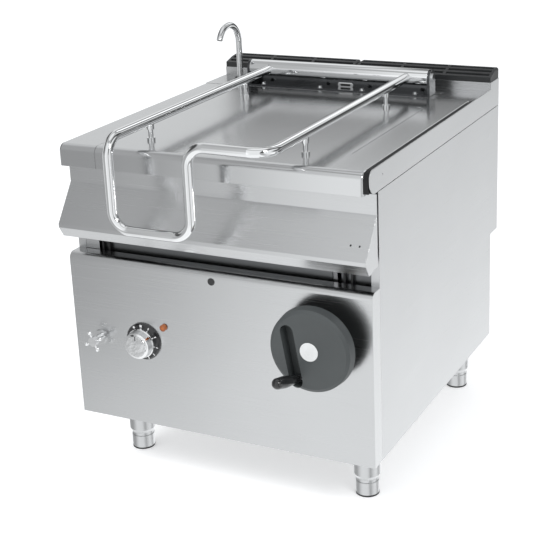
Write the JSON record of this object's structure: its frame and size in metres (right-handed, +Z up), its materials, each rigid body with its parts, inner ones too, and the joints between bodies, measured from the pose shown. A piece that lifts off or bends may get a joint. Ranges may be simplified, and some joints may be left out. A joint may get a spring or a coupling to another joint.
{
  "type": "tilting bratt pan",
  "caption": "Free-standing electric tilting bratt pan with a hinged lid, tube handle, folding-grip handwheel, water spout, rear flue grates and adjustable legs.",
  "frame": {"origin": "on the floor, under the middle of the whole machine's outline with the folding grip open", "axes": "+Z up, -Y towards the user in front, +X towards the machine's right-hand side with the handwheel"},
  "size_m": [0.8, 1.0562, 1.0265],
  "materials": {
    "stainless": "satin brushed",
    "leg_steel": "satin",
    "well_steel": "ground",
    "chrome_tube": "polished",
    "machined_steel": "machined",
    "heater_steel": "matt",
    "black_paint": "satin",
    "black_cast_iron": "enamelled, satin",
    "housing_aluminium": "cast",
    "bush_brass": "machined",
    "wheel_plastic": "satin moulded",
    "black_gloss_plastic": "polished",
    "black_plastic": "matt",
    "white_plastic": "polished",
    "amber_lens": "translucent"
  },
  "bodies": {
    "frame": {"control_panel": "stainless", "side_panel_left": "stainless", "side_panel_right": "stainless", "side_rail_left": "stainless", "side_rail_right": "stainless", "back_panel": "stainless", "base_tray": "stainless", "legs": "leg_steel", "feet": "leg_steel", "front_crossbar": "stainless", "pivot_post_left": "black_paint", "pivot_post_right": "black_paint", "post_bolts": "machined_steel", "pivot_pins": "machined_steel", "left_worktop": "stainless", "left_worktop_bracket": "stainless", "rear_worktop": "stainless", "flue_box": "stainless", "flue_grate_left": "black_cast_iron", "flue_grate_right": "black_cast_iron", "reducer_housing": "housing_aluminium", "handwheel_bush": "bush_brass", "thermostat_skirt": "black_gloss_plastic", "thermostat_body": "black_plastic", "indicator_lamp": "amber_lens", "panel_plug": "black_plastic", "tap_valve": "chrome_tube", "supply_pipe": "stainless", "spout_pipe": "stainless", "cable_gland": "black_plastic", "rating_plate": "stainless", "spout_fitting": "chrome_tube"},
    "pan": {"pan_deck": "stainless", "pan_tank": "well_steel", "heating_elements": "heater_steel", "pan_jacket": "stainless", "pan_apron": "stainless", "pan_beam": "stainless", "pan_gussets": "stainless", "pivot_lugs": "machined_steel", "tilt_sector": "machined_steel", "hinge_shelf": "stainless", "hinge_base": "chrome_tube"},
    "lid": {"lid": "stainless", "lid_handle": "chrome_tube", "handle_studs": "chrome_tube", "hinge_tube": "chrome_tube", "hinge_plugs": "chrome_tube", "lid_spring": "machined_steel"},
    "output_shaft": {"output_pinion": "machined_steel"},
    "handwheel": {"handwheel": "wheel_plastic", "handwheel_cap": "white_plastic", "handwheel_shaft": "machined_steel", "grip_pin": "machined_steel"},
    "grip_spindle": {"grip_spindle": "machined_steel"},
    "grip_sleeve": {"grip_sleeve": "black_gloss_plastic"},
    "thermostat_knob": {"thermostat_knob": "chrome_tube"},
    "tap_handle": {"tap_handle": "chrome_tube"},
    "spout": {"swivel_spout": "chrome_tube"}
  },
  "joints": [
    {"name": "pan_tilt", "type": "hinge", "parent": "frame", "child": "pan", "pos_m": [0, -0.33691, 0.64], "axis": [1, 0, 0], "range_deg": [0, 80]},
    {"name": "lid_open", "type": "hinge", "parent": "pan", "child": "lid", "pos_m": [0, 0.36809, 0.898], "axis": [-1, 0, 0], "range_deg": [0, 85]},
    {"name": "output_turn", "type": "hinge", "parent": "frame", "child": "output_shaft", "pos_m": [0.291, -0.22824, 0.66709], "axis": [1, 0, 0], "range_deg": [-350, 0]},
    {"name": "handwheel_turn", "type": "hinge", "parent": "frame", "child": "handwheel", "pos_m": [0.275, -0.36691, 0.448], "axis": [0, 1, 0], "range_deg": [0, 6940]},
    {"name": "grip_fold", "type": "hinge", "parent": "handwheel", "child": "grip_spindle", "pos_m": [0.241, -0.42041, 0.372], "axis": [0.9857, 0, 0.1685], "range_deg": [-73, 0]},
    {"name": "grip_spin", "type": "hinge", "parent": "grip_spindle", "child": "grip_sleeve", "pos_m": [0.241, -0.42041, 0.372], "axis": [-0.0493, -0.9563, 0.2882], "continuous": true},
    {"name": "thermostat_turn", "type": "hinge", "parent": "frame", "child": "thermostat_knob", "pos_m": [-0.202, -0.38691, 0.372], "axis": [0, 1, 0], "range_deg": [0, 270]},
    {"name": "tap_turn", "type": "hinge", "parent": "frame", "child": "tap_handle", "pos_m": [-0.33, -0.38691, 0.363], "axis": [0, -1, 0], "range_deg": [0, 720]},
    {"name": "spout_swivel", "type": "hinge", "parent": "frame", "child": "spout", "pos_m": [-0.313, 0.38509, 0.86], "axis": [0, 0, -1], "range_deg": [0, 60]}
  ],
  "couplings": [
    {"joint": "output_turn", "follows": "pan_tilt", "ratio": -4.3333},
    {"joint": "handwheel_turn", "follows": "pan_tilt", "ratio": 86.667}
  ]
}
